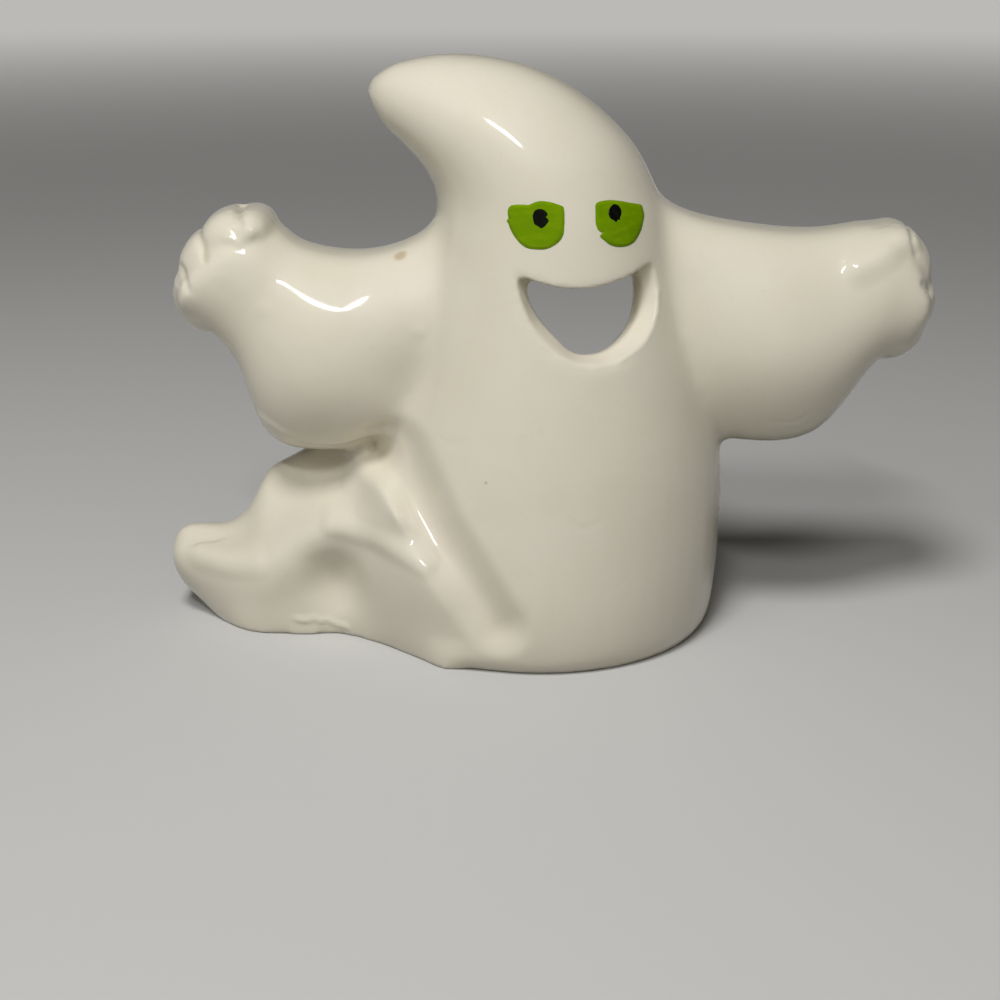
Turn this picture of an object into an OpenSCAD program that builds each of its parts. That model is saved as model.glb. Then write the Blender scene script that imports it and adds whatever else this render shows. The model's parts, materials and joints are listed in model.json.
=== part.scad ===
/* [Body] */
// Overall height, from the table to the top of the curled head
body_h = 120; // [104:1:136]
// Width of the round foot
body_w = 80; // [74:1:88]
// Depth of the round foot, front to back
body_d = 72; // [66:1:80]
// Thickness of the cast wall
wall = 4; // [3:0.25:5]

/* [Arms] */
// From the middle of the body to the end of the raised fist
raised_arm_reach = 77; // [70:1:86]
// From the middle of the body to the end of the level fist
level_arm_reach = 83; // [76:1:92]
// Thickness of a sleeve, front to back
sleeve_d = 32; // [28:1:36]
// Radius of a knuckle, seen from the front
knuckle_r = 4.6; // [4.2:0.1:5]
// Length of a knuckle, front to back
knuckle_l = 20; // [17:0.5:23]

/* [Tail] */
// From the middle of the body to the tip of the tail
tail_reach = 82; // [76:1:90]
// Height of the hump that the tail starts from
tail_h = 38.5; // [34:0.5:42]
// Thickness of the hump, front to back
tail_d = 40; // [36:1:44]

/* [Face] */
// Width of the mouth, from corner to corner
mouth_w = 27.6; // [24:0.2:29]
// Height of the mouth, from its corners to its lowest point
mouth_h = 18; // [15:0.5:19]
// How far behind the face the mouth is narrowest
throat_d = 9; // [7:0.5:11]
// Thickness of the wall round the passage behind the mouth
passage_wall = 2.5; // [2:0.25:3]
// Width of an eye
eye_w = 11; // [9:0.5:11.5]
// Height of an eye
eye_h = 8.8; // [8:0.2:10]
// Width of a pupil
pupil_w = 3.2; // [2.6:0.1:3.6]
// Thickness of one layer of fired paint
paint_t = 0.3; // [0.2:0.05:0.5]

/* [Base] */
// Thickness of the slab that closes the foot
slab_t = 4; // [3:0.5:5]
// Diameter of the pour hole in the slab
pour_hole_d = 12; // [8:1:16]
// Diameter of the air holes between the body and its limbs
air_hole_d = 3; // [2:0.25:3.5]

/* [Hidden] */
cream = [0.87, 0.85, 0.78];
bisque = [0.90, 0.86, 0.79];
leaf_green = [0.38, 0.58, 0.03];
black = [0.02, 0.02, 0.02];
overrun = 1;

// Points round a section, and sections from one station to the next
body_sides = 48;
body_steps = 3;
limb_sides = 32;
limb_steps = 2;
hollow_sides = 28;
knuckle_sides = 16;
knuckle_rings = 8;
pupil_sides = 16;
round_sides = 48;

// A form is a row of stations. A station is a chord across the outline as it is seen from the
// front, with half the thickness of the form there, how far back its middle lies, and how much
// blunter than an ellipse its second end is: [first x, first z, second x, second z, half
// thickness, middle y, bluntness]. Its first end is blunted by a share of that
first_end_share = 0.8;

// Smooth curve through four neighbours, at share s of the way from the second to the third
function smooth_between(p, q, r, t, s) =
    0.5 * (2 * q + (r - p) * s + (2 * p - 5 * q + 4 * r - t) * s * s
           + (3 * q - p - 3 * r + t) * s * s * s);

function station_at(stations, index, s) =
    let (last = len(stations) - 1)
    smooth_between(stations[max(index - 1, 0)], stations[index],
                   stations[min(index + 1, last)], stations[min(index + 2, last)], s);

// The stations with the ones between them filled in
function filled_in(stations, steps) = [
    for (index = [0 : len(stations) - 2])
        for (step = [0 : steps - 1])
            station_at(stations, index, step / steps),
    stations[len(stations) - 1]
];

function blunted(v, bluntness) = sign(v) * pow(abs(v), 1 - bluntness);

// The section at a station, drawn in by inset all round
function section(station, sides, inset) =
    let (
        first = [station[0], station[1]],
        second = [station[2], station[3]],
        middle = (first + second) / 2,
        half = norm(second - first) / 2,
        along = (second - first) / (2 * half)
    ) [
        for (side = [0 : sides - 1])
            let (
                angle = 360 * side / sides,
                u = cos(angle),
                v = blunted(sin(angle), station[6] * (u > 0 ? 1 : first_end_share))
            )
            [middle[0] + along[0] * u * (half - inset),
             station[5] + v * (station[4] - inset),
             middle[1] + along[1] * u * (half - inset)]
    ];

// The closed solid through a row of rings of points
module skin(rings) {
    sides = len(rings[0]);
    count = len(rings);
    points = [for (ring = rings) for (point = ring) point];
    walls = [
        for (row = [0 : count - 2])
            for (side = [0 : sides - 1])
                let (next = (side + 1) % sides, low = row * sides, high = low + sides)
                each [[low + side, high + next, low + next],
                      [low + side, high + side, high + next]]
    ];
    ends = [[for (side = [0 : sides - 1]) side],
            [for (side = [sides - 1 : -1 : 0]) (count - 1) * sides + side]];
    polyhedron(points, concat(walls, ends), convexity = 8);
}

module form(stations, sides, inset = 0) {
    skin([for (station = stations) section(station, sides, inset)]);
}

// Body and head: x as shares of body_w, z of body_h, and thickness of body_d
body_shares = [
    [-0.460, 0.000, 0.458, 0.000, 0.474, 0, 0],
    [-0.488, 0.022, 0.478, 0.022, 0.500, 0, 0],
    [-0.502, 0.100, 0.490, 0.100, 0.508, 0, 0],
    [-0.482, 0.210, 0.496, 0.210, 0.488, 0, 0],
    [-0.438, 0.333, 0.484, 0.333, 0.458, 0, 0],
    [-0.378, 0.460, 0.440, 0.460, 0.417, 0, 0],
    [-0.322, 0.585, 0.388, 0.585, 0.375, 0, 0],
    [-0.278, 0.716, 0.336, 0.716, 0.333, 0, 0],
    [-0.272, 0.772, 0.303, 0.768, 0.313, 0, 0],
    [-0.300, 0.815, 0.228, 0.858, 0.285, 0, 0],
    [-0.344, 0.848, 0.093, 0.938, 0.243, 0, 0],
    [-0.394, 0.880, -0.058, 0.985, 0.188, 0, 0],
    [-0.420, 0.902, -0.231, 1.000, 0.132, 0, 0],
    [-0.434, 0.921, -0.356, 0.987, 0.074, 0, 0],
    [-0.438, 0.935, -0.402, 0.972, 0.040, 0, 0],
    [-0.438, 0.947, -0.426, 0.961, 0.014, 0, 0]
];
body_scale = [body_w, body_h, body_w, body_h, body_d, body_d, 1];
body_stations = filled_in([
    for (shares = body_shares) [for (i = [0 : 6]) shares[i] * body_scale[i]]
], body_steps);

// The hollow starts above the slab and ends where the horn is too thin to be hollow
hollow_stations = [
    for (station = body_stations)
        if (station[1] > slab_t && station[4] > 3 * wall) station
];
hollow_floor = hollow_stations[0][1];

// How the outside of the body runs at a height below the curl of the head
function body_left(z) = lookup(z, [for (station = body_stations) [station[1], station[0]]]);
function body_right(z) = lookup(z, [for (station = body_stations) [station[1], station[2]]]);
function body_half(z) = lookup(z, [for (station = body_stations) [station[1], station[4]]]);
function face_y(x, z) =
    let (u = (2 * x - body_left(z) - body_right(z)) / (body_right(z) - body_left(z)))
    -body_half(z) * sqrt(max(0, 1 - u * u));

// Arms, made towards +X: x as shares of the reach past the shoulder, z of body_h, and
// thickness of sleeve_d. They start inside the body, which cuts them off
shoulder_x = 0.45 * body_w;
raised_arm_shares = [
    [-0.540, 0.775, -0.540, 0.340, 0.44, 0, 0.4],
    [-0.400, 0.748, -0.400, 0.334, 0.45, 0, 0.4],
    [-0.268, 0.702, -0.268, 0.330, 0.47, 0, 0.4],
    [-0.061, 0.675, -0.049, 0.326, 0.49, 0, 0.4],
    [0.141, 0.672, 0.183, 0.322, 0.50, 0, 0.4],
    [0.317, 0.685, 0.405, 0.324, 0.49, 0, 0.35],
    [0.385, 0.700, 0.540, 0.347, 0.46, 0, 0.3],
    [0.440, 0.716, 0.615, 0.405, 0.43, 0, 0.3],
    [0.500, 0.729, 0.662, 0.466, 0.41, 0, 0.35],
    [0.570, 0.732, 0.725, 0.508, 0.40, 0, 0.4],
    [0.660, 0.722, 0.800, 0.540, 0.40, 0, 0.45],
    [0.755, 0.698, 0.880, 0.560, 0.39, 0, 0.45],
    [0.860, 0.665, 0.940, 0.575, 0.36, 0, 0.45],
    [0.925, 0.635, 0.958, 0.596, 0.26, 0, 0.45]
];
level_arm_shares = [
    [-0.470, 0.810, -0.470, 0.350, 0.44, 0, 0.4],
    [-0.310, 0.785, -0.310, 0.345, 0.45, 0, 0.4],
    [-0.191, 0.752, -0.170, 0.341, 0.46, 0, 0.4],
    [-0.028, 0.730, 0.021, 0.344, 0.48, 0, 0.4],
    [0.213, 0.715, 0.277, 0.336, 0.50, 0, 0.4],
    [0.340, 0.711, 0.465, 0.351, 0.48, 0, 0.35],
    [0.457, 0.711, 0.582, 0.397, 0.45, 0, 0.3],
    [0.574, 0.717, 0.660, 0.448, 0.43, 0, 0.3],
    [0.691, 0.722, 0.727, 0.485, 0.42, 0, 0.35],
    [0.785, 0.708, 0.805, 0.500, 0.40, 0, 0.4],
    [0.855, 0.675, 0.870, 0.520, 0.39, 0, 0.45],
    [0.905, 0.635, 0.912, 0.548, 0.35, 0, 0.45],
    [0.930, 0.602, 0.932, 0.570, 0.25, 0, 0.45]
];
// Knuckles: x as shares of the reach past the shoulder, z of body_h, and radius of knuckle_r
raised_knuckle_shares = [[0.566, 0.713, 1.00], [0.665, 0.690, 1.56],
                         [0.735, 0.645, 1.98], [0.782, 0.602, 1.90]];
level_knuckle_shares = [[0.772, 0.680, 1.20], [0.738, 0.640, 2.20],
                        [0.800, 0.589, 1.83], [0.772, 0.552, 1.76]];

function arm_stations(shares_list, reach) =
    let (length = reach - shoulder_x, scale = [length, body_h, length, body_h, sleeve_d, sleeve_d, 1])
    filled_in([
        for (shares = shares_list)
            [for (i = [0 : 6]) shares[i] * scale[i] + (i == 0 || i == 2 ? shoulder_x : 0)]
    ], limb_steps);

// Tail, made towards +X: a row of upright sections. x is a share of the reach past the hip, or
// of the way back from it to the middle of the body, y is a share of tail_d and z of tail_h:
// [x, lowest z, y there, y of the wall under the ridge, y and z of the ridge along the front,
// y and z of the top, y of the back]. It dips below the table, which cuts it flat
hip_x = 0.5 * body_w;
tail_shares = [
    [-0.800, -0.16, -0.600, -0.660, -0.700, 0.26, -0.20, 0.42, 0.60],
    [-0.650, -0.16, -0.680, -0.790, -0.830, 0.40, -0.45, 0.52, 0.68],
    [-0.500, -0.16, -0.710, -0.800, -0.825, 0.50, -0.62, 0.62, 0.70],
    [-0.375, -0.16, -0.605, -0.735, -0.775, 0.575, -0.60, 0.72, 0.68],
    [-0.250, -0.16, -0.480, -0.650, -0.670, 0.615, -0.56, 0.87, 0.64],
    [-0.100, -0.16, -0.390, -0.510, -0.515, 0.625, -0.26, 1.01, 0.58],
    [0.071, -0.16, -0.350, -0.355, -0.375, 0.635, 0.06, 1.02, 0.53],
    [0.238, -0.16, -0.355, -0.375, -0.375, 0.56, 0.08, 0.960, 0.50],
    [0.381, -0.14, -0.330, -0.385, -0.385, 0.47, 0.05, 0.880, 0.44],
    [0.476, -0.12, -0.320, -0.380, -0.365, 0.41, 0.02, 0.83, 0.39],
    [0.571, -0.10, -0.300, -0.340, -0.320, 0.40, 0, 0.62, 0.34],
    [0.700, -0.03, -0.190, -0.270, -0.255, 0.40, 0, 0.515, 0.265],
    [0.833, 0.08, -0.105, -0.185, -0.170, 0.40, 0, 0.52, 0.200],
    [0.931, 0.18, -0.070, -0.130, -0.120, 0.40, 0, 0.50, 0.140],
    [0.981, 0.27, -0.035, -0.068, -0.060, 0.38, 0, 0.42, 0.070]
];
tail_steps = 4;

// The closed line of points that a section's outline runs smoothly through, in y and z, from the
// front's lowest point over the ridge and the top to the back
wall_height_share = 0.55;
slope_shares = [0.48, 0.46];
tail_back_shares = [[0.80, 0.85], [1.00, 0.50], [0.82, 0]];
sole_share = 0.10;
function tail_points(s) = [
    [s[2], s[1]],
    [s[3], s[1] + wall_height_share * (s[5] - s[1])],
    [s[4], s[5]],
    [s[4] + slope_shares[0] * (s[6] - s[4]), s[5] + slope_shares[1] * (s[7] - s[5])],
    [s[6], s[7]],
    for (back = tail_back_shares) [back[0] * s[8], s[1] + back[1] * (s[7] - s[1])],
    [(s[2] + s[8]) / 2, s[1] - sole_share * s[7]]
];

function tail_x(s) = hip_x + s[0] * (s[0] < 0 ? hip_x : tail_reach - hip_x);
function tail_section(s) =
    let (points = tail_points(s), count = len(points)) [
        for (i = [0 : count - 1])
            for (step = [0 : tail_steps - 1])
                let (point = smooth_between(points[(i + count - 1) % count], points[i],
                                            points[(i + 1) % count], points[(i + 2) % count],
                                            step / tail_steps))
                [tail_x(s), point[0] * tail_d, point[1] * tail_h]
    ];

// From the tip to the root, because its sections run the other way round from the others
tail_stations = filled_in(tail_shares, limb_steps);
module tail_outside() {
    skin([for (i = [len(tail_stations) - 1 : -1 : 0]) tail_section(tail_stations[i])]);
}

// A limb is hollow up to where it is too thin to be
function hollow_part(stations) = [for (station = stations) if (station[4] > 2 * wall) station];

// The tail's hollow is an upright oval in each section, lower than the top, and behind the front by
// a share of the depth that it can have
hollow_top_share = 0.85;
hollow_front_share = 0.15;
tail_hollow_stations = hollow_part([
    for (s = tail_stations)
        let (front = s[3] + hollow_front_share * (s[8] - s[3]))
        [tail_x(s), hollow_top_share * s[7] * tail_h, tail_x(s), max(0, s[1]) * tail_h,
         (s[8] - front) / 2 * tail_d, (s[8] + front) / 2 * tail_d, 0]
]);

// Mouth: its outline from the left corner along the upper lip and back underneath, as shares of
// mouth_w and mouth_h from the middle of the line between its corners
mouth_x = 0.099 * body_w;
mouth_z = 0.675 * body_h;
mouth_shares = [
    [-0.505, -0.015], [-0.40, -0.065], [-0.30, -0.11], [-0.175, -0.15], [-0.045, -0.167],
    [0.075, -0.16], [0.20, -0.13], [0.315, -0.09], [0.41, -0.025], [0.505, 0.033],
    [0.549, -0.175], [0.554, -0.42], [0.522, -0.62], [0.45, -0.785], [0.335, -0.92],
    [0.205, -0.995], [0.045, -1.00], [-0.085, -0.96], [-0.205, -0.86], [-0.313, -0.715],
    [-0.395, -0.544], [-0.453, -0.352], [-0.49, -0.16]
];
// Width, height, shift to the right and drop of the passage at its throat and at the back
throat_shares = [0.74, 0.855, -0.036, 0.15];
back_shares = [1.10, 1.80, 0.02, 0];

function mouth_point(shares, fit) =
    [mouth_x + (shares[0] * fit[0] + fit[2]) * mouth_w,
     mouth_z + (shares[1] * fit[1] - fit[3]) * mouth_h];

// The outline at one depth, grown by grow all round
function mouth_outline(fit, grow) =
    let (
        outline = [for (shares = mouth_shares) mouth_point(shares, fit)],
        count = len(outline)
    ) [
        for (i = [0 : count - 1])
            let (
                before = outline[(i + count - 1) % count],
                after = outline[(i + 1) % count],
                run = (after - before) / norm(after - before)
            )
            outline[i] + grow * [-run[1], run[0]]
    ];
function at_depths(outline, depths) =
    [for (i = [0 : len(outline) - 1]) [outline[i][0], depths[i], outline[i][1]]];

module mouth_form(grow = 0) {
    lips = mouth_outline([1, 1, 0, 0], 0);
    face = [for (point = lips) face_y(point[0], point[1])];
    far_y = body_d / 2 + overrun;
    skin([
        at_depths(mouth_outline([1, 1, 0, 0], grow), [for (y = face) -far_y]),
        at_depths(mouth_outline([1, 1, 0, 0], grow), [for (y = face) y - overrun]),
        at_depths(mouth_outline(throat_shares, grow), [for (y = face) y + throat_d]),
        at_depths(mouth_outline(back_shares, grow), [for (y = face) far_y])
    ]);
}

// Eyes: outlines as shares of eye_w and eye_h from the middle of the eye
left_eye_x = -0.0225 * body_w;
left_eye_z = 0.7475 * body_h;
right_eye_x = 0.1855 * body_w;
right_eye_z = 0.7458 * body_h;
left_eye_shares = [
    [-0.42, 0.40], [-0.10, 0.44], [0.06, 0.50], [0.24, 0.49], [0.46, 0.40], [0.50, 0.26],
    [0.50, 0.02], [0.47, -0.20], [0.33, -0.36], [0.18, -0.48], [0.03, -0.50], [-0.14, -0.49],
    [-0.25, -0.39], [-0.38, -0.17], [-0.50, 0.06], [-0.455, 0.31]
];
right_eye_shares = [
    [-0.48, 0.44], [-0.37, 0.49], [-0.17, 0.49], [0.10, 0.44], [0.40, 0.33], [0.46, 0.13],
    [0.48, -0.01], [0.41, -0.19], [0.31, -0.38], [0.15, -0.49], [-0.04, -0.48], [-0.22, -0.40],
    [-0.35, -0.28], [-0.40, -0.19], [-0.38, -0.10], [-0.46, 0.05], [-0.48, 0.26]
];
// Pupils: middle as shares of eye_w and eye_h from the middle of the eye, and size of pupil_w
left_pupil_shares = [0.095, 0.148, 1.0, 1.17];
right_pupil_shares = [-0.123, 0.210, 0.87, 1.03];

module eye_outline(shares_list) {
    polygon([for (shares = shares_list) [shares[0] * eye_w, shares[1] * eye_h]]);
}

module pupil_outline(shares) {
    polygon([
        for (side = [0 : pupil_sides - 1])
            let (angle = 360 * side / pupil_sides)
            [shares[0] * eye_w + shares[2] * pupil_w / 2 * cos(angle),
             shares[1] * eye_h + shares[3] * pupil_w / 2 * sin(angle)]
    ]);
}

// How far below and above the middle of an eye the skin under its paint reaches, as shares of
// eye_h: for the outside of a layer, and a little further for the inside
skin_reach_shares = [1.2, 1.8];
function skin_stations(z, reach) = [
    for (station = body_stations)
        if (station[1] > z - reach && station[1] < z + reach) station
];

// A layer of paint on the face, cut to an outline, on top of so many layers
module paint(x, z, layers) {
    difference() {
        intersection() {
            form(skin_stations(z, skin_reach_shares[0] * eye_h), body_sides, -(layers + 1) * paint_t);
            translate([x, 0, z])
                rotate([90, 0, 0])
                    linear_extrude(body_d)
                        children();
        }
        form(skin_stations(z, skin_reach_shares[1] * eye_h), body_sides, -layers * paint_t);
    }
}

module body_outside() {
    form(body_stations, body_sides);
}

// The stretch of the body that a limb is cut to
limb_top = 0.88 * body_h;
module body_side() {
    form([for (station = body_stations) if (station[1] < limb_top) station], body_sides);
}

// The foot's opening, which the slab fills
module slab_outline() {
    seat = section(body_stations[0], body_sides, wall);
    polygon([for (point = seat) [point[0], point[1]]]);
}

// Air holes: one behind each shoulder and one behind the hip
shoulder_z = 0.51 * body_h;
hip_z = 0.45 * tail_h;
module air_hole(side, z) {
    translate([0, 0, z])
        rotate([0, side * 90, 0])
            cylinder(d = air_hole_d, h = body_w, $fn = round_sides);
}

// Torso and curled head, cast hollow, with the mouth cut through
module body_shell() {
    color(cream)
        difference() {
            body_outside();
            form(hollow_stations, hollow_sides, wall);
            translate([0, 0, -overrun])
                linear_extrude(hollow_floor + 2 * overrun)
                    slab_outline();
            mouth_form();
            air_hole(-1, shoulder_z);
            air_hole(1, shoulder_z);
            air_hole(-1, hip_z);
        }
}

// The wall of the passage from the mouth to the back, inside the hollow
module mouth_passage() {
    color(bisque)
        difference() {
            intersection() {
                form(hollow_stations, hollow_sides, wall);
                mouth_form(passage_wall);
            }
            mouth_form();
        }
}

// A knuckle is a barrel with rounded ends
knuckle_bluntness = 0.3;
module knuckle(radius) {
    skin([
        for (ring = [0 : knuckle_rings])
            let (
                turn = -80 + 160 * ring / knuckle_rings,
                ring_radius = radius * blunted(cos(turn), knuckle_bluntness),
                y = -knuckle_l / 2 * blunted(sin(turn), knuckle_bluntness)
            )
            [for (side = [0 : knuckle_sides - 1])
                let (angle = 360 * side / knuckle_sides)
                [ring_radius * cos(angle), y, ring_radius * sin(angle)]]
    ]);
}

module arm_outside(shares_list, knuckle_shares, reach) {
    union() {
        form(arm_stations(shares_list, reach), limb_sides);
        for (shares = knuckle_shares)
            translate([shoulder_x + shares[0] * (reach - shoulder_x), 0, shares[1] * body_h])
                knuckle(shares[2] * knuckle_r);
    }
}

// Sleeve and fist on the left, cast hollow and stuck to the body
module raised_arm() {
    color(cream)
        difference() {
            mirror([1, 0, 0])
                difference() {
                    arm_outside(raised_arm_shares, raised_knuckle_shares, raised_arm_reach);
                    form(hollow_part(arm_stations(raised_arm_shares, raised_arm_reach)), hollow_sides, wall);
                }
            body_side();
        }
}

// Sleeve and fist on the right
module level_arm() {
    color(cream)
        difference() {
            arm_outside(level_arm_shares, level_knuckle_shares, level_arm_reach);
            form(hollow_part(arm_stations(level_arm_shares, level_arm_reach)), hollow_sides, wall);
            body_side();
        }
}

// The swept hem on the left, cast hollow and stuck to the body and to the sleeve above it
module tail() {
    color(cream)
        difference() {
            mirror([1, 0, 0])
                difference() {
                    tail_outside();
                    form(tail_hollow_stations, hollow_sides, wall);
                    form(arm_stations(raised_arm_shares, raised_arm_reach), limb_sides);
                }
            body_side();
            translate([-2 * tail_reach, -tail_reach, -tail_reach])
                cube([2 * tail_reach, 2 * tail_reach, tail_reach]);
        }
}

// The slab that closes the foot, with the hole that the slip was poured out of
module foot_slab() {
    color(bisque)
        difference() {
            linear_extrude(slab_t)
                slab_outline();
            translate([0, 0, -overrun])
                cylinder(d = pour_hole_d, h = slab_t + 2 * overrun, $fn = round_sides);
        }
}

// Fired paint
module left_iris() {
    color(leaf_green)
        paint(left_eye_x, left_eye_z, 0)
            eye_outline(left_eye_shares);
}
module right_iris() {
    color(leaf_green)
        paint(right_eye_x, right_eye_z, 0)
            eye_outline(right_eye_shares);
}
module left_pupil() {
    color(black)
        paint(left_eye_x, left_eye_z, 1)
            pupil_outline(left_pupil_shares);
}
module right_pupil() {
    color(black)
        paint(right_eye_x, right_eye_z, 1)
            pupil_outline(right_pupil_shares);
}

body_shell();
mouth_passage();
raised_arm();
level_arm();
tail();
foot_slab();
left_iris();
right_iris();
left_pupil();
right_pupil();
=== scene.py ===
import json
import math

import bpy
import numpy as np
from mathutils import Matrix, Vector
from mathutils.bvhtree import BVHTree
from mathutils.kdtree import KDTree

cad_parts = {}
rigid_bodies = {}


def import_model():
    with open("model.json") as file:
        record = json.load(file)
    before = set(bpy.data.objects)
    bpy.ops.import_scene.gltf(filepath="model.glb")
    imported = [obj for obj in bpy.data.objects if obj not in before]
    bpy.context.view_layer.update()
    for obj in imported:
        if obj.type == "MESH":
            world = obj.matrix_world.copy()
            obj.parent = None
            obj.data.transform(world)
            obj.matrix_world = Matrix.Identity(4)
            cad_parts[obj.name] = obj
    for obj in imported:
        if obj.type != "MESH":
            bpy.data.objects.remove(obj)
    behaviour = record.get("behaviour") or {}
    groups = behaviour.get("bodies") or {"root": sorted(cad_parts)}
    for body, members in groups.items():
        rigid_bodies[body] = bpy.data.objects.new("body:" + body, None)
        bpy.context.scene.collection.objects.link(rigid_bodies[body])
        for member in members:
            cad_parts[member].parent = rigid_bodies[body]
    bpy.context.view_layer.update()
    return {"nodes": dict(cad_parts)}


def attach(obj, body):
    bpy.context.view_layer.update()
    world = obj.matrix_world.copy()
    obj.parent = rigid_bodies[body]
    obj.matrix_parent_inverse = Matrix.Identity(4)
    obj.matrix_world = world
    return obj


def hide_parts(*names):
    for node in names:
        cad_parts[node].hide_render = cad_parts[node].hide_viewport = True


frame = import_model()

mm = 0.001

# ---------------------------------------------------------------------------------------------
# The table, the lamps and the camera.
# A plain pale table top without an end in sight, two soft lamps above the photographer's left
# shoulder, and a narrow tube that the glaze mirrors as short bright streaks.
table_size = 16.0
table_pale = (0.62, 0.615, 0.60, 1)
table_bounce = (0.26, 0.255, 0.24, 1)
glow_start, glow_end = 0.12, 3.0
glow_strength = 0.72
room_tint = (1.0, 0.965, 0.89, 1)
room_low_down = 0.24
room_in_front = 0.22
lamps_aim = Vector((0, 0, 0.06))
tube_slant = math.radians(-32)
camera_place = (-0.008588, -0.310411, 0.138425)
camera_tilt = math.radians(70)


def new_material(name):
    """A material, with its tree of nodes and its main shader."""
    made = bpy.data.materials.new(name)
    made.use_nodes = True
    return made, made.node_tree, made.node_tree.nodes["Principled BSDF"]


def add_node(tree, kind, **settings):
    """A node in a tree, with its settings and the values of its sockets."""
    made = tree.nodes.new(kind)
    for setting, value in settings.items():
        socket = made.inputs.get(setting)
        if socket:
            socket.default_value = value
        else:
            setattr(made, setting, value)
    return made


def wire(source, target):
    target.id_data.links.new(source, target)


def worked_out(operation, first, second):
    """A sum on a socket and a second socket or number."""
    made = add_node(first.id_data, "ShaderNodeMath", operation=operation)
    wire(first, made.inputs[0])
    if isinstance(second, float):
        made.inputs[1].default_value = second
    else:
        wire(second, made.inputs[1])
    return made.outputs[0]


def spread(source, low, high, least=0.0, most=1.0):
    """A value between low and high as a share between least and most."""
    ramp = add_node(source.id_data, "ShaderNodeMapRange", interpolation_type="SMOOTHSTEP")
    wire(source, ramp.inputs["Value"])
    limits = {"From Min": low, "From Max": high, "To Min": least, "To Max": most}
    for name, value in limits.items():
        ramp.inputs[name].default_value = value
    return ramp.outputs["Result"]


def blend_in(under, over, share):
    """Lays a colour over another by a share; each is a socket or a colour."""
    mix = add_node(share.id_data, "ShaderNodeMix", data_type="RGBA")
    for name, colour in (("A", under), ("B", over)):
        if isinstance(colour, tuple):
            mix.inputs[name].default_value = colour
        else:
            wire(colour, mix.inputs[name])
    wire(share, mix.inputs["Factor"])
    return mix.outputs["Result"]


bpy.ops.object.select_all(action="DESELECT")
bpy.ops.mesh.primitive_plane_add(size=table_size, location=(0, 0, 0))
table = bpy.context.object
table.name = "table_top"
paper, tree, shader = new_material("table_paper")
ray = add_node(tree, "ShaderNodeLightPath").outputs
seen = worked_out("MAXIMUM", ray["Is Camera Ray"], ray["Is Glossy Ray"])
seen = worked_out("MAXIMUM", seen, ray["Is Transmission Ray"])
wire(blend_in(table_bounce, table_pale, seen), shader.inputs["Base Color"])
shader.inputs["Roughness"].default_value = 0.85
shader.inputs["Specular IOR Level"].default_value = 0.2

# Far from the lamps the table stays as pale to the eye, without lighting the figure
from_figure = add_node(tree, "ShaderNodeVectorMath", operation="LENGTH")
wire(add_node(tree, "ShaderNodeTexCoord").outputs["Object"], from_figure.inputs[0])
glow = spread(from_figure.outputs["Value"], glow_start, glow_end, 0, glow_strength)
wire(worked_out("MULTIPLY", glow, seen), shader.inputs["Emission Strength"])
shader.inputs["Emission Color"].default_value = table_pale
table.data.materials.append(paper)

# A dim room, a little brighter behind the photographer and low down all round
room = bpy.data.worlds.new("room")
bpy.context.scene.world = room
room.use_nodes = True
room_light = room.node_tree.nodes["Background"]
room_light.inputs["Color"].default_value = room_tint
direction = add_node(room.node_tree, "ShaderNodeSeparateXYZ")
wire(add_node(room.node_tree, "ShaderNodeTexCoord").outputs["Generated"], direction.inputs[0])
low_down = spread(direction.outputs["Z"], 0.45, 0.0, 0, room_low_down)
in_front = spread(direction.outputs["Y"], 0.0, -0.8, 0, room_in_front)
wire(worked_out("ADD", low_down, in_front), room_light.inputs["Strength"])


def hung_lamp(name, azimuth, elevation, distance, size, watts, mirrored):
    """A lamp that faces the figure, in degrees right of the camera and up from the table."""
    across, up = math.radians(azimuth), math.radians(elevation)
    way = Vector((math.sin(across) * math.cos(up), -math.cos(across) * math.cos(up), math.sin(up)))
    lamp = bpy.data.objects.new(name, bpy.data.lights.new(name, "AREA"))
    lamp.data.shape = "ELLIPSE"
    lamp.data.size, lamp.data.size_y = size
    lamp.data.energy = watts
    lamp.location = lamps_aim + way * distance
    lamp.rotation_euler = way.to_track_quat("Z", "Y").to_euler()
    lamp.visible_glossy = mirrored
    bpy.context.collection.objects.link(lamp)
    return lamp


hung_lamp("ceiling_lamp", -21, 63, 0.75, (0.20, 0.20), 3.0, False)
hung_lamp("side_lamp", -45, 38, 0.90, (0.35, 0.35), 0.75, False)
tube = hung_lamp("tube", -10, 44, 0.90, (0.27, 0.045), 1.85, True)
tube.rotation_euler.rotate_axis("Z", tube_slant)

camera_data = bpy.data.cameras.new("camera")
camera_data.lens = 54
camera_data.sensor_width = 36
camera = bpy.data.objects.new("camera", camera_data)
bpy.context.collection.objects.link(camera)
camera.location = camera_place
camera.rotation_euler = (camera_tilt, 0, 0)
bpy.context.scene.camera = camera
bpy.context.scene.view_settings.view_transform = "Standard"

# ---------------------------------------------------------------------------------------------
# The clay castings: torso with head, the wall of the mouth, two sleeves with fists, and the tail.
# Each comes out of its own plaster mould and is stuck on with wet slip, so they are first joined
# into one skin, with the hollow inside left out.
castings = ["body_shell", "mouth_passage", "raised_arm", "level_arm", "tail"]
skin_grain = 0.7 * mm
crease_angle = math.radians(28)
crease_step = 0.5 * mm
crease_height = 8 * mm
seam_margin = 6 * mm
plug_radius = 9 * mm
plug_height = 4 * mm


def select_only(piece):
    bpy.ops.object.select_all(action="DESELECT")
    piece.select_set(True)
    bpy.context.view_layer.objects.active = piece


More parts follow.
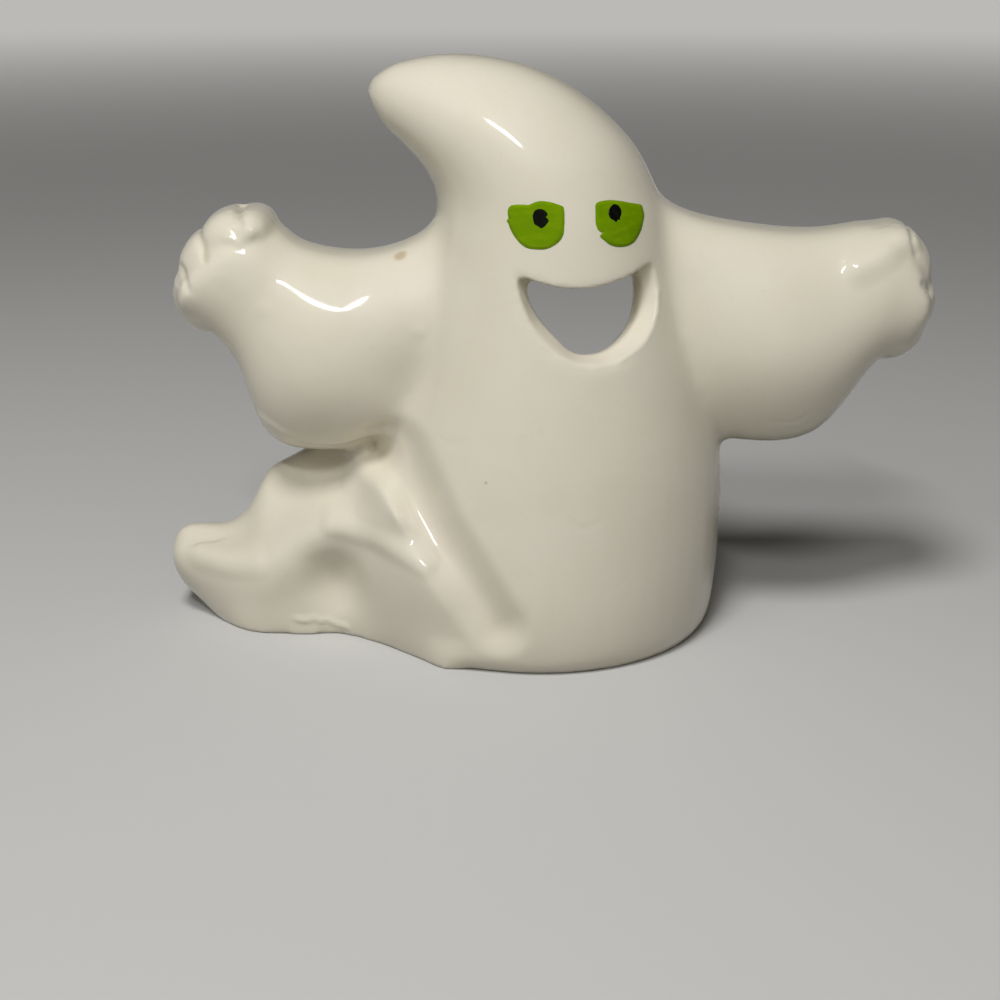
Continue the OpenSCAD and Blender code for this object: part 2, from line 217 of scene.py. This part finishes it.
def merged_copy(node):
    """A copy of a casting as an object of its own, its loose triangles merged."""
    copy = bpy.data.objects.new(node + "_copy", frame["nodes"][node].data.copy())
    bpy.context.collection.objects.link(copy)
    select_only(copy)
    bpy.ops.object.mode_set(mode="EDIT")
    bpy.ops.mesh.select_all(action="SELECT")
    bpy.ops.mesh.remove_doubles(threshold=0.001 * mm)
    bpy.ops.object.mode_set(mode="OBJECT")
    return copy


def use(piece, kind, **settings):
    """Adds a modifier with these settings and applies it."""
    select_only(piece)
    modifier = piece.modifiers.new(kind.lower(), kind)
    for setting, value in settings.items():
        setattr(modifier, setting, value)
    bpy.ops.object.modifier_apply(modifier=modifier.name)


def values_of(items, name, kind=float, across=1):
    """A property of every point, corner or face of a mesh, as an array."""
    values = np.empty(len(items) * across, dtype=kind)
    items.foreach_get(name, values)
    return values.reshape(-1, across) if across > 1 else values


def points_of(piece):
    return values_of(piece.data.vertices, "co", across=3)


def normals_of(piece):
    return values_of(piece.data.vertices, "normal", across=3)


def move_points(piece, points):
    piece.data.vertices.foreach_set("co", points.ravel())
    piece.data.update()


copies = {node: merged_copy(node) for node in castings + ["foot_slab"]}
surfaces = {
    node: BVHTree.FromPolygons(
        [vertex.co for vertex in copies[node].data.vertices],
        [polygon.vertices for polygon in copies[node].data.polygons],
    )
    for node in castings
}

# The sharp lines of the moulds, which the sponge keeps off: the lips and the grooves of the fists
crease_points = []
for node in ["body_shell", "raised_arm", "level_arm"]:
    mesh = copies[node].data
    normals_by_edge = {}
    for polygon in mesh.polygons:
        for edge in polygon.edge_keys:
            normals_by_edge.setdefault(edge, []).append(polygon.normal)
    for (first, second), normals in normals_by_edge.items():
        if len(normals) != 2 or normals[0].angle(normals[1], 0) <= crease_angle:
            continue
        start, end = mesh.vertices[first].co, mesh.vertices[second].co
        middle = (start + end) / 2
        if middle.z < crease_height:
            continue
        if node != "body_shell" and surfaces["body_shell"].find_nearest(middle)[3] < seam_margin:
            continue
        length = max((end - start).length, crease_step)
        for step in range(int((end - start).length / crease_step) + 1):
            crease_points.append(start.lerp(end, step * crease_step / length))
creases = KDTree(len(crease_points))
for index, point in enumerate(crease_points):
    creases.insert(point, index)
creases.balance()

# A plug in the pour hole keeps the hollow inside apart from the skin outside
bpy.ops.object.select_all(action="DESELECT")
bpy.ops.mesh.primitive_cylinder_add(
    vertices=32, radius=plug_radius, depth=plug_height, location=(0, 0, plug_height / 2))
for copy in copies.values():
    copy.select_set(True)
figure = copies["body_shell"]
bpy.context.view_layer.objects.active = figure
bpy.ops.object.join()
figure.name = "joined_castings"
use(figure, "REMESH", mode="VOXEL", voxel_size=skin_grain)

top = int(points_of(figure)[:, 2].argmax())
bpy.ops.object.mode_set(mode="EDIT")
bpy.ops.mesh.select_mode(type="VERT")
bpy.ops.mesh.select_all(action="DESELECT")
bpy.ops.object.mode_set(mode="OBJECT")
figure.data.vertices[top].select = True
bpy.ops.object.mode_set(mode="EDIT")
bpy.ops.mesh.select_linked()
bpy.ops.mesh.select_all(action="INVERT")
bpy.ops.mesh.delete(type="VERT")
bpy.ops.object.mode_set(mode="OBJECT")
print("skin", len(figure.data.vertices), "points", len(crease_points), "crease points")

# ---------------------------------------------------------------------------------------------
# Sponging. The wet slip at the seams is wiped into soft hollows, and the mould's marks are wiped
# off the broad faces. Lips, grooves of the fists, horn and tail tip are only touched lightly.
# Places and reaches are in mm.
horn_tip = (-35, 0, 112)
tail_tip = (-80, -4, 14)
raised_fist = (-64, 0, 78)
level_fist = (74, 0, 74)
mouth_middle = (7.9, -25, 73)
seam_reach = 6
recess_reach = 9
lip_seam_reach = 3
crease_reach = (0.6, 4.0)
foot_reach = 1.5
rim_height = 0.35 * mm
weight_steps = 20


def eased(share):
    share = np.clip(share, 0, 1)
    return share * share * (3 - 2 * share)


def away_from(points, centre, near, far):
    """0 within near of a place, rising to 1 at far, in mm."""
    distance = np.linalg.norm(points - np.array(centre) * mm, axis=1) / mm
    return eased((distance - near) / (far - near))


def weigh(piece, name, weights):
    """A vertex group with these weights, in even steps."""
    group = piece.vertex_groups.new(name=name)
    steps = np.round(weights * weight_steps)
    for step in np.unique(steps[steps > 0]):
        group.add(np.flatnonzero(steps == step).tolist(), step / weight_steps, "REPLACE")


def sponge(piece, weights, passes):
    weigh(piece, "sponged", weights)
    use(piece, "SMOOTH", factor=0.5, iterations=passes, vertex_group="sponged")
    piece.vertex_groups.clear()


def stand_flat(piece, before):
    """Gives the rim that stands on the table the height that it had before."""
    after = points_of(piece)
    after[:, 2] = np.where(before[:, 2] < rim_height, before[:, 2], after[:, 2])
    move_points(piece, after)


points = points_of(figure)
reach = {
    node: np.array([surfaces[node].find_nearest(point)[3] for point in points]) / mm
    for node in castings
}
limbs = np.minimum.reduce([reach["raised_arm"], reach["level_arm"], reach["tail"]])
body = np.minimum(reach["body_shell"], reach["mouth_passage"])
recess = eased(1 - np.maximum(reach["raised_arm"], reach["tail"]) / recess_reach)
seam = eased(1 - np.maximum(body, limbs) / seam_reach) * (1 - recess)
lip_seam = eased(1 - np.maximum(reach["body_shell"], reach["mouth_passage"]) / lip_seam_reach)
crease = np.array([creases.find(point)[2] for point in points]) / mm
off_crease = eased((crease - crease_reach[0]) / (crease_reach[1] - crease_reach[0]))
off_foot = eased(points[:, 2] / mm / foot_reach)
off_tips = np.minimum(away_from(points, horn_tip, 5, 14), away_from(points, tail_tip, 4, 12))
off_fists = np.minimum(
    away_from(points, raised_fist, 14, 22), away_from(points, level_fist, 14, 22))

# The steps of the skin's grain go first, then the mould's marks, then the slip at the seams of the
# limbs and round the lips
sponge(figure, np.maximum(off_crease, 0.6), 8)
stand_flat(figure, points)
sponge(figure, off_foot * off_crease * (0.35 + 0.65 * off_fists) * (0.25 + 0.75 * off_tips), 34)
sponge(figure, off_foot * seam, 45)
sponge(figure, off_foot * lip_seam, 12)

# The lips are soft below and on the left, and crisp above and on the right
lips = 1 - away_from(points, mouth_middle, 19, 23)
low_and_left = eased((80 - points[:, 2] / mm) / 8) * eased((20 - points[:, 0] / mm) / 8)
sponge(figure, lips * eased(1 - crease / 4) * low_and_left, 24)

# The wall of the mouth opens like a funnel to its narrowest place, close behind the face. The face
# is taken as an oval that narrows upwards, and the wall moves forward along the line of sight by
# how far behind the face it lies. In mm.
mouth_sight = np.array((-0.056, -0.973, 0.219))
funnel_forward = 4.5
funnel_full = 9
funnel_end = 30
funnel_fade = 21
low_wall_rise = 0.4
low_wall_right = 1.3
oval_height = 70
oval_middle = 2.6
oval_width, width_taper = 28.4, 0.256
oval_depth, depth_taper = 27.1, 0.19

points = points_of(figure)
height = points[:, 2] / mm
face_width = oval_width - width_taper * (height - oval_height)
face_depth = oval_depth - depth_taper * (height - oval_height)
across_face = np.clip((points[:, 0] / mm - oval_middle) / face_width, -1, 1)
behind_face = points[:, 1] / mm + face_depth * np.sqrt(1 - across_face ** 2)
beside_mouth = (abs(points[:, 0] / mm - 8) < 17.5) & (abs(height - 71.5) < 15)
in_mouth = beside_mouth & (behind_face > 0.4)
funnel = np.clip(behind_face / funnel_full, 0, 1) * in_mouth
funnel *= eased((funnel_end - behind_face) / funnel_fade)
points += funnel[:, None] * funnel_forward * mm * mouth_sight
low_wall = funnel * eased((74 - points[:, 2] / mm) / 8)
points[:, 2] += low_wall * low_wall_rise * mm
points[:, 0] += low_wall * eased((8 - points[:, 0] / mm) / 8) * low_wall_right * mm
move_points(figure, points)


def swelling(points, centre, radii):
    """1 at a place, falling to 0 at the rim of an oval round it, in mm."""
    return eased(1 - np.linalg.norm((points / mm - np.array(centre)) / np.array(radii), axis=1))


def along_line(points, line, width, back):
    """1 on a line drawn on the front, falling to 0 at width from it; x and z in mm."""
    flat = points[:, [0, 2]] / mm
    distance = np.full(len(points), 1e3)
    for start, end in zip(np.array(line[:-1]), np.array(line[1:])):
        run = end - start
        share = np.clip((flat - start) @ run / (run @ run), 0, 1)
        distance = np.minimum(distance, np.linalg.norm(flat - start - share[:, None] * run, axis=1))
    return eased(1 - distance / width) * (points[:, 1] < back * mm)


# The underside of the raised sleeve lifts where it meets the body
sleeve_lift = 3.2
points = points_of(figure)
lift = swelling(points, (-33, -10, 42), (10, 12, 9)) * eased(1 - reach["raised_arm"] / 2)
points[:, 2] += lift * sleeve_lift * mm
move_points(figure, points)

# Soft forms of the front, pressed straight out or in. Place, radii and how far forward, in mm
front_forms = (
    ((-45.0, -15.0, 57.0), (19, 19, 24), 2.2),  # belly of the raised sleeve
    ((-25.0, -16.0, 70.0), (15, 14, 16), 1.6),  # its shoulder
    ((50.0, -15.8, 62.0), (34, 30, 20), 2.0),  # belly of the level sleeve
    ((-44.0, -12.0, 28.0), (17, 16, 13), 2.8),  # fullness of the haunch
    ((-33.0, -20.0, 30.0), (7, 12, 8), 1.8),  # its crest near the body
    ((-43.0, -15.5, 12.5), (11, 11, 9), -1.5),  # dimple under the haunch
    ((-34.0, -13.0, 39.5), (9, 10, 5.5), -3.2),  # recess under the raised sleeve
    ((-18.0, -32.5, 2.0), (9, 8, 6), 0.9),  # where the tail leaves the foot
)
# The valley between the haunch and the torso
valley = [
    (-28.2, 42.7), (-24.4, 35.6), (-21.4, 29.5), (-18.3, 25.3), (-13.0, 17.0), (-9.0, 11.0)
]
valley_width = 7.5
valley_depth = 2.8
# The y up to which a line drawn on the front marks the skin: on the body, and on the fists
on_front = -5
on_fists = 3

points = points_of(figure)
for centre, radii, forward in front_forms:
    points[:, 1] -= swelling(points, centre, radii) * forward * mm
points[:, 1] += along_line(points, valley, valley_width, on_front) * valley_depth * mm
move_points(figure, points)

# The recess under the sleeve and the outer corner of the haunch are wiped once more
sponge(figure, swelling(points, (-33.0, -10.0, 41.0), (9, 12, 7)), 30)
sponge(figure, swelling(points, (-59.0, 0.0, 31.0), (9, 20, 8)), 40)
use(figure, "SMOOTH", factor=0.5, iterations=3)
stand_flat(figure, points)

# Small lumps in the glaze that shine. Place, radii and height in mm
swells = (
    ((-24.7, -14.7, 67.2), (2.6, 3.6, 2.6), 0.30),
    ((-46.9, -15.7, 64.4), (2.0, 3.0, 2.0), 0.10),
    ((-56.1, -13.6, 71.1), (2.5, 3.5, 2.5), 0.15),
)
# What the mould and the hand left on the front. Line, half width, height and how far back, in mm
hand_marks = (
    # the rim under the raised sleeve
    ([(-58.5, 47.6), (-55.4, 45.8), (-53.2, 44.4), (-50.4, 43.3), (-43.7, 42.7), (-36.7, 43.7),
      (-31.5, 45.2)], 1.5, 0.30, on_front),
    # a run of glaze at the foot of the haunch
    ([(-52.4, 3.7), (-50.3, 3.3), (-48.8, 3.9), (-47.2, 3.1), (-45.8, 3.5), (-44.3, 2.6),
      (-41.5, 2.0)], 0.9, 0.40, on_front),
    # faint dents in the level sleeve and the torso
    ([(47.6, 48.2), (49.4, 47.3), (51.6, 47.1), (53.4, 47.7), (55.1, 49.2)], 0.8, -0.14, on_front),
    ([(5.2, 32.5), (8.4, 31.4), (11.4, 32.8)], 0.9, -0.07, on_front),
    ([(-20.6, 47.2), (-17.9, 46.6), (-15.3, 47.8)], 0.9, -0.07, on_front),
    # the two crests of the haunch
    ([(-44.0, 25.6), (-41.2, 25.5), (-36.7, 24.9), (-32.2, 24.5), (-27.8, 23.8), (-23.7, 22.5)],
     3.4, 0.5, on_front),
    ([(-31.0, 36.0), (-29.2, 32.9), (-26.2, 26.8), (-23.1, 22.6)], 2.4, 0.15, on_front),
    # the tip of the tail
    ([(-73.9, 15.4), (-67.2, 15.1), (-61.4, 16.1)], 4.4, 0.6, on_front),
    # the cuff of the level sleeve
    ([(63.5, 79.4), (66.5, 81.0), (69.5, 82.8)], 4.6, 0.8, on_front),
    # the right rim of the mouth
    ([(22.6, 75.4), (22.5, 72.2), (21.4, 68.7), (19.7, 66.3), (17.3, 64.8), (14.9, 63.7)],
     1.0, 0.22, on_front),
    # grooves and the knuckle of the raised fist
    ([(-62.0, 90.2), (-61.4, 89.2), (-60.7, 87.6)], 1.3, -0.6, on_fists),
    ([(-69.8, 85.1), (-68.5, 83.1), (-68.1, 80.8)], 1.3, -0.55, on_fists),
    ([(-73.5, 78.4), (-72.2, 76.8), (-71.6, 74.8)], 1.2, -0.5, on_fists),
    ([(-63.1, 84.9), (-60.8, 84.3), (-58.2, 86.1)], 1.6, 0.35, on_fists),
    # grooves of the level fist
    ([(74.8, 85.6), (74.7, 84.0), (75.5, 81.6)], 1.2, -0.5, on_fists),
    ([(77.0, 75.9), (79.3, 73.7)], 1.2, -0.5, on_fists),
)
points = points_of(figure)
normals = normals_of(figure)
for centre, radii, lump_height in swells:
    points += normals * (swelling(points, centre, radii) * lump_height * mm)[:, None]
for line, width, mark_height, back in hand_marks:
    points += normals * (along_line(points, line, width, back) * mark_height * mm)[:, None]
move_points(figure, points)

# ---------------------------------------------------------------------------------------------
# The glaze: a clear gloss over cream earthenware, a little uneven, darker and warmer in the hollows
# of the skin and paler on its edges, with a fine grain and a few specks.
cream = (0.77, 0.725, 0.585, 1)
darker_cream = (0.60, 0.53, 0.36, 1)
paler_cream = (0.80, 0.745, 0.62, 1)
speck_brown = (0.58, 0.49, 0.33, 1)
full_hollow = 0.5
evening_passes = 30
specks = (
    ((-28.7, -7.3, 80.6), 2.0),
    ((61.3, -7.2, 83.0), 0.8),
    ((-11.4, -30.7, 40.2), 0.45),
    ((74.3, -10.0, 75.4), 0.5),
)

# How far each point lies under the skin as it would be if it were worn even
points = points_of(figure)
normals = normals_of(figure)
worn = figure.copy()
worn.data = figure.data.copy()
bpy.context.collection.objects.link(worn)
use(worn, "SMOOTH", factor=0.5, iterations=evening_passes)
hollow = np.einsum("ij,ij->i", points_of(worn) - points, normals) / mm
bpy.data.objects.remove(worn)
hollowness = figure.data.attributes.new("hollowness", "FLOAT", "POINT")
hollowness.data.foreach_set("value", np.clip(hollow / full_hollow, -1, 1))


def noise(place, scale, detail=2.0, roughness=0.5):
    made = add_node(
        place.id_data, "ShaderNodeTexNoise", Scale=scale, Detail=detail, Roughness=roughness)
    wire(place, made.inputs["Vector"])
    return made.outputs["Fac"]


def spot(place, centre, radius):
    """1 inside a small round spot, falling to 0 at its rim."""
    offset = add_node(place.id_data, "ShaderNodeVectorMath", operation="DISTANCE")
    wire(place, offset.inputs[0])
    offset.inputs[1].default_value = [coordinate * mm for coordinate in centre]
    return spread(offset.outputs["Value"], 0.35 * radius * mm, radius * mm, 1, 0)


glaze, tree, shader = new_material("cream_glaze")
place = add_node(tree, "ShaderNodeTexCoord").outputs["Object"]
depth = add_node(tree, "ShaderNodeAttribute", attribute_name="hollowness").outputs["Fac"]
mottle = spread(noise(place, 55, 4.0, 0.6), 0.35, 0.65)
grain = spread(noise(place, 900), 0.62, 0.74)

colour = blend_in(cream, paler_cream, mottle)
# Darker and warmer where the skin lies below a smoothed copy of itself, paler where it stands above
# it
colour = blend_in(colour, darker_cream, spread(depth, 0.05, 1.0, 0, 0.75))
colour = blend_in(colour, paler_cream, spread(depth, -0.1, -1.0, 0, 0.6))
colour = blend_in(colour, darker_cream, worked_out("MULTIPLY", grain, 0.10))
for centre, radius in specks:
    colour = blend_in(colour, speck_brown, spot(place, centre, radius))
wire(colour, shader.inputs["Base Color"])

shader.inputs["Roughness"].default_value = 0.45
shader.inputs["Coat Weight"].default_value = 1.0
shader.inputs["Coat Roughness"].default_value = 0.07
ripple = add_node(tree, "ShaderNodeBump", Strength=0.10, Distance=0.0006)
wire(noise(place, 90), ripple.inputs["Height"])
wire(ripple.outputs["Normal"], shader.inputs["Coat Normal"])

# ---------------------------------------------------------------------------------------------
# The slab of clay in the foot, and the bare clay that shows on the inside and on the foot's rim.
# It is wiped dry of glaze so that the figure doesn't stick to the shelf of the kiln.
fired_clay = (0.74, 0.67, 0.53, 1)
dusty_clay = (0.80, 0.75, 0.64, 1)

clay, tree, shader = new_material("bare_clay")
place = add_node(tree, "ShaderNodeTexCoord").outputs["Object"]
dust = spread(noise(place, 160, 5.0, 0.6), 0.35, 0.65)
wire(blend_in(fired_clay, dusty_clay, dust), shader.inputs["Base Color"])
shader.inputs["Roughness"].default_value = 0.88
shader.inputs["Specular IOR Level"].default_value = 0.25
grit = add_node(tree, "ShaderNodeBump", Strength=0.35, Distance=0.0002)
wire(noise(place, 1400, 3.0), grit.inputs["Height"])
wire(grit.outputs["Normal"], shader.inputs["Normal"])
slab = frame["nodes"]["foot_slab"]
slab.data.materials.clear()
slab.data.materials.append(clay)

# ---------------------------------------------------------------------------------------------
# The castings by themselves again, each a shell of clay with its share of the skin, so that the
# seams close without a gap. The foot is open, with the slab in it.
pieces = {
    "body_shell": "torso_casting",
    "mouth_passage": "mouth_wall",
    "raised_arm": "raised_sleeve",
    "level_arm": "level_sleeve",
    "tail": "swept_tail",
}
shell_depth = 1.4 * mm
foot_lift = 0.1 * mm
underside_height = 0.3 * mm
slab_overlap = 1.0 * mm
pour_hole_reach = 12 * mm
inside_detail = 0.56
seam_evenings = 8

points = points_of(figure)
points[:, 2] = np.maximum(points[:, 2], foot_lift)
move_points(figure, points)
normals = normals_of(figure)
number = figure.data.attributes.new("skin_number", "INT", "POINT")
number.data.foreach_set("value", np.arange(len(points), dtype=np.int32))

# The point, the edge and the face of every corner, and the two faces beside each edge
corner_point = values_of(figure.data.loops, "vertex_index", np.int32)
corner_edge = values_of(figure.data.loops, "edge_index", np.int32)
corners_of_face = values_of(figure.data.polygons, "loop_total", np.int32)
corner_face = np.repeat(np.arange(len(corners_of_face)), corners_of_face)
by_edge = np.argsort(corner_edge, kind="stable")
paired = np.flatnonzero(corner_edge[by_edge][:-1] == corner_edge[by_edge][1:])
beside = corner_face[by_edge][np.stack([paired, paired + 1], axis=1)]

# Which casting a face belongs to: the nearest one, with the line between two evened out
share = np.stack([reach[node] for node in castings], axis=1)
share = (share == share.min(axis=1, keepdims=True)).astype(float)
corners_at_point = np.bincount(corner_point, minlength=len(points))[:, None]
for evening in range(seam_evenings):
    face_share = np.stack(
        [np.bincount(corner_face, column[corner_point]) for column in share.T], axis=1)
    face_share /= corners_of_face[:, None]
    share = np.stack([
        np.bincount(corner_point, column[corner_face], minlength=len(points))
        for column in face_share.T
    ], axis=1) / corners_at_point
casting_of = face_share.argmax(axis=1)

# A face cut off from the rest of its casting goes to the casting round it
group = np.arange(len(corners_of_face))
alike = beside[casting_of[beside[:, 0]] == casting_of[beside[:, 1]]]
while True:
    least = group.copy()
    low = np.minimum(group[alike[:, 0]], group[alike[:, 1]])
    np.minimum.at(least, alike[:, 0], low)
    np.minimum.at(least, alike[:, 1], low)
    least = least[least]
    if (least == group).all():
        break
    group = least
for index in range(len(castings)):
    mine = np.flatnonzero(casting_of == index)
    main = np.bincount(group[mine]).argmax()
    casting_of[mine[group[mine] != main]] = -1
while (casting_of < 0).any():
    for first, second in ((0, 1), (1, 0)):
        lost = (casting_of[beside[:, first]] < 0) & (casting_of[beside[:, second]] >= 0)
        casting_of[beside[lost, first]] = casting_of[beside[lost, second]]

# The slab's own faces are left out
slab_seat = BVHTree.FromPolygons(
    [vertex.co for vertex in slab.data.vertices],
    [polygon.vertices for polygon in slab.data.polygons],
)
centres = np.stack([np.bincount(corner_face, points[corner_point, i]) for i in range(3)], axis=1)
centres /= corners_of_face[:, None]
for face in np.flatnonzero(centres[:, 2] < underside_height):
    middle = Vector(centres[face])
    probe = middle + Vector((middle.x, middle.y, 0)).normalized() * slab_overlap
    over_hole = middle.length < pour_hole_reach
    hit = slab_seat.ray_cast(Vector((probe.x, probe.y, -mm)), Vector((0, 0, 1)))
    if over_hole or hit[0] is not None:
        casting_of[face] = len(castings)

for index, node in enumerate(castings):
    piece = figure.copy()
    piece.data = figure.data.copy()
    piece.name = piece.data.name = pieces[node]
    bpy.context.collection.objects.link(piece)
    select_only(piece)
    piece.data.materials.clear()
    for material in (glaze, clay, clay):
        piece.data.materials.append(material)
    bpy.ops.object.mode_set(mode="EDIT")
    bpy.ops.mesh.select_mode(type="FACE")
    bpy.ops.object.mode_set(mode="OBJECT")
    piece.data.polygons.foreach_set("select", casting_of != index)
    bpy.ops.object.mode_set(mode="EDIT")
    bpy.ops.mesh.delete(type="FACE")
    bpy.ops.object.mode_set(mode="OBJECT")
    use(piece, "SOLIDIFY", thickness=shell_depth, offset=-1, use_rim=True, thickness_clamp=0,
        material_offset=1, material_offset_rim=2)

    # The inside is never seen, so it has few faces
    slots = values_of(piece.data.polygons, "material_index", np.int32)
    sizes = values_of(piece.data.polygons, "loop_total", np.int32)
    corners = values_of(piece.data.loops, "vertex_index", np.int32)
    inside = np.ones(len(piece.data.vertices))
    inside[corners[np.repeat(slots != 1, sizes)]] = 0
    weigh(piece, "inside", inside)
    use(piece, "DECIMATE", ratio=inside_detail, vertex_group="inside",
        use_collapse_triangulate=True)
    piece.vertex_groups.clear()

    # The outside keeps the shading of the whole skin, so that no seam shows in the glaze
    select_only(piece)
    bpy.ops.object.shade_smooth()
    numbers = values_of(piece.data.attributes["skin_number"].data, "value", np.int32)
    slots = values_of(piece.data.polygons, "material_index", np.int32)
    sizes = values_of(piece.data.polygons, "loop_total", np.int32)
    corners = values_of(piece.data.loops, "vertex_index", np.int32)
    outer = np.repeat(slots == 0, sizes)
    shading = np.where(outer[:, None], normals[numbers[corners]], 0)
    piece.data.normals_split_custom_set(shading.tolist())
    piece.data.attributes.remove(piece.data.attributes["skin_number"])

    print(piece.name, len(piece.data.polygons), "triangles")
    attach(piece, "root")
    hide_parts(node)

# ---------------------------------------------------------------------------------------------
# The painted eyes: a half round of yellow-green, brushed on in one coat with an uneven edge, and
# a black dab on each. Each is a thin film on the skin of the face, thickest in its middle.
left_iris_line = [
    (-4.4, 3.55), (-2.4, 3.72), (-1.3, 3.70), (-0.3, 4.15), (0.9, 4.45), (2.6, 4.30),
    (4.2, 3.85), (5.15, 3.45), (5.45, 2.9), (5.55, 1.3), (5.50, -0.4), (5.30, -1.8),
    (4.55, -3.0), (3.30, -3.9), (1.80, -4.45), (-0.10, -4.50), (-1.60, -4.30), (-2.85, -3.55),
    (-3.95, -2.35), (-4.75, -1.05), (-5.25, 0.20), (-5.55, 0.55), (-5.20, 1.0), (-5.30, 1.9),
    (-5.15, 2.9)
]
right_iris_line = [
    (-5.05, 3.80), (-4.2, 4.25), (-2.4, 4.35), (-0.4, 4.05), (1.6, 3.50), (3.6, 2.95),
    (4.30, 2.65), (4.62, 1.9), (4.85, 0.75), (4.55, -0.6), (3.95, -2.2), (2.75, -3.75),
    (1.2, -4.35), (-0.5, -4.35), (-2.1, -3.85), (-3.55, -2.75), (-4.25, -2.05), (-3.85, -1.55),
    (-4.30, -1.15), (-4.75, -0.60), (-5.10, 0.6), (-5.12, 2.2)
]
left_pupil_line = [
    (-1.15, 1.45), (-0.2, 1.75), (0.75, 1.45), (1.30, 0.85), (1.20, 0.50), (0.95, 0.25),
    (1.25, -0.05), (1.55, -0.55), (1.15, -1.15), (0.75, -1.60), (0.05, -1.95),
    (-0.65, -1.55), (-1.25, -1.20), (-1.55, -0.30), (-1.60, 0.60)
]
right_pupil_line = [
    (-0.35, 1.65), (0.55, 1.45), (1.15, 0.75), (1.35, -0.10), (1.05, -0.90), (1.00, -1.35),
    (0.55, -1.35), (0.20, -1.70), (-0.35, -1.30), (-0.95, -0.95), (-1.35, -0.10), (-1.15, 0.90)
]
film_cells = 72
curve_step = 0.125
before_face = -60.0
film_rim = 0.14
rim_depth = 0.1
iris_lift, iris_depth = 0.02 * mm, 0.22 * mm
pupil_lift, pupil_depth = 0.20 * mm, 0.14 * mm
leaf_green = (0.155, 0.290, 0.0, 1)
thin_green = (0.215, 0.345, 0.002, 1)
deep_green = (0.130, 0.255, 0.0, 1)
paint_black = (0.001, 0.0015, 0.001, 1)
thin_black = (0.006, 0.010, 0.002, 1)
face_skin = bpy.data.objects["torso_casting"]


def smooth_curve(line):
    """A smooth closed curve through the corners of a line."""
    corners = np.array(line)
    curve = []
    for index in range(len(corners)):
        p, q, r, t = (corners[(index + k) % len(corners)] for k in (-1, 0, 1, 2))
        for s in np.arange(0, 1, curve_step):
            curve.append(0.5 * (2 * q + (r - p) * s + (2 * p - 5 * q + 4 * r - t) * s ** 2
                                + (3 * q - p - 3 * r + t) * s ** 3))
    return np.array(curve)


def brushed_film(name, line, centre, lift, depth):
    """A disc of cells shaped to a line, laid on the skin of the face and given a thickness."""
    bpy.ops.object.select_all(action="DESELECT")
    bpy.ops.mesh.primitive_grid_add(x_subdivisions=film_cells, y_subdivisions=film_cells, size=2)
    film = bpy.context.object
    film.name = film.data.name = name
    across, up, _ = points_of(film).T
    radius = np.maximum(abs(across), abs(up))
    angle = np.arctan2(up, across)

    curve = smooth_curve(line)
    curve_angle = np.arctan2(curve[:, 1], curve[:, 0])
    order = np.argsort(curve_angle)
    edge = np.interp(angle, curve_angle[order], np.hypot(curve[:, 0], curve[:, 1])[order],
                     period=2 * math.pi)
    placed = np.stack([
        centre[0] + radius * edge * np.cos(angle),
        np.full(len(radius), before_face),
        centre[1] + radius * edge * np.sin(angle),
    ], axis=1) * mm
    move_points(film, placed)
    use(film, "SHRINKWRAP", target=face_skin, wrap_method="PROJECT", use_project_y=True,
        use_positive_direction=True, use_negative_direction=False, offset=lift,
        wrap_mode="ABOVE_SURFACE")
    weigh(film, "dome", eased((1 - radius) / film_rim) * (1 - rim_depth) + rim_depth)
    use(film, "SOLIDIFY", thickness=depth, offset=1, vertex_group="dome",
        thickness_vertex_group=0.0)
    film.vertex_groups.clear()
    select_only(film)
    bpy.ops.object.mode_set(mode="EDIT")
    bpy.ops.mesh.select_all(action="SELECT")
    bpy.ops.mesh.normals_make_consistent(inside=False)
    bpy.ops.object.mode_set(mode="OBJECT")
    bpy.ops.object.shade_smooth()
    return film


green, tree, shader = new_material("brushed_green")
place = add_node(tree, "ShaderNodeTexCoord").outputs["Object"]
strokes = add_node(tree, "ShaderNodeMapping", Rotation=(0, math.radians(35), 0), Scale=(1, 1, 4))
wire(place, strokes.inputs["Vector"])
brushed = spread(noise(strokes.outputs["Vector"], 240, 4.0, 0.6), 0.40, 0.70, 0, 0.6)
patches = spread(noise(place, 210), 0.45, 0.75)
colour = blend_in(leaf_green, deep_green, patches)
wire(blend_in(colour, thin_green, brushed), shader.inputs["Base Color"])
shader.inputs["Roughness"].default_value = 0.55
shader.inputs["Specular IOR Level"].default_value = 0.0
shader.inputs["Coat Weight"].default_value = 0.18
shader.inputs["Coat Roughness"].default_value = 0.06

black, tree, shader = new_material("dabbed_black")
place = add_node(tree, "ShaderNodeTexCoord").outputs["Object"]
thin = spread(noise(place, 900, 3.0), 0.5, 0.75)
wire(blend_in(paint_black, thin_black, thin), shader.inputs["Base Color"])
shader.inputs["Roughness"].default_value = 0.5
shader.inputs["Specular IOR Level"].default_value = 0.1
shader.inputs["Coat Weight"].default_value = 0.12
shader.inputs["Coat Roughness"].default_value = 0.06

for node, line, centre in (
    ("left_iris", left_iris_line, (-1.8, 89.7)),
    ("right_iris", right_iris_line, (14.84, 89.5)),
    ("left_pupil", left_pupil_line, (-0.75, 91.0)),
    ("right_pupil", right_pupil_line, (13.5, 91.4)),
):
    if node.endswith("iris"):
        lift, depth, paint, slot = iris_lift, iris_depth, green, "green_paint"
    else:
        lift, depth, paint, slot = pupil_lift, pupil_depth, black, "black_paint"
    film = brushed_film(node + "_film", line, centre, lift, depth)
    film.data.materials.clear()
    film.data.materials.append(paint)
    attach(film, "root")
    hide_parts(node)

# The joined castings have lent their skin to the pieces
bpy.data.objects.remove(figure)
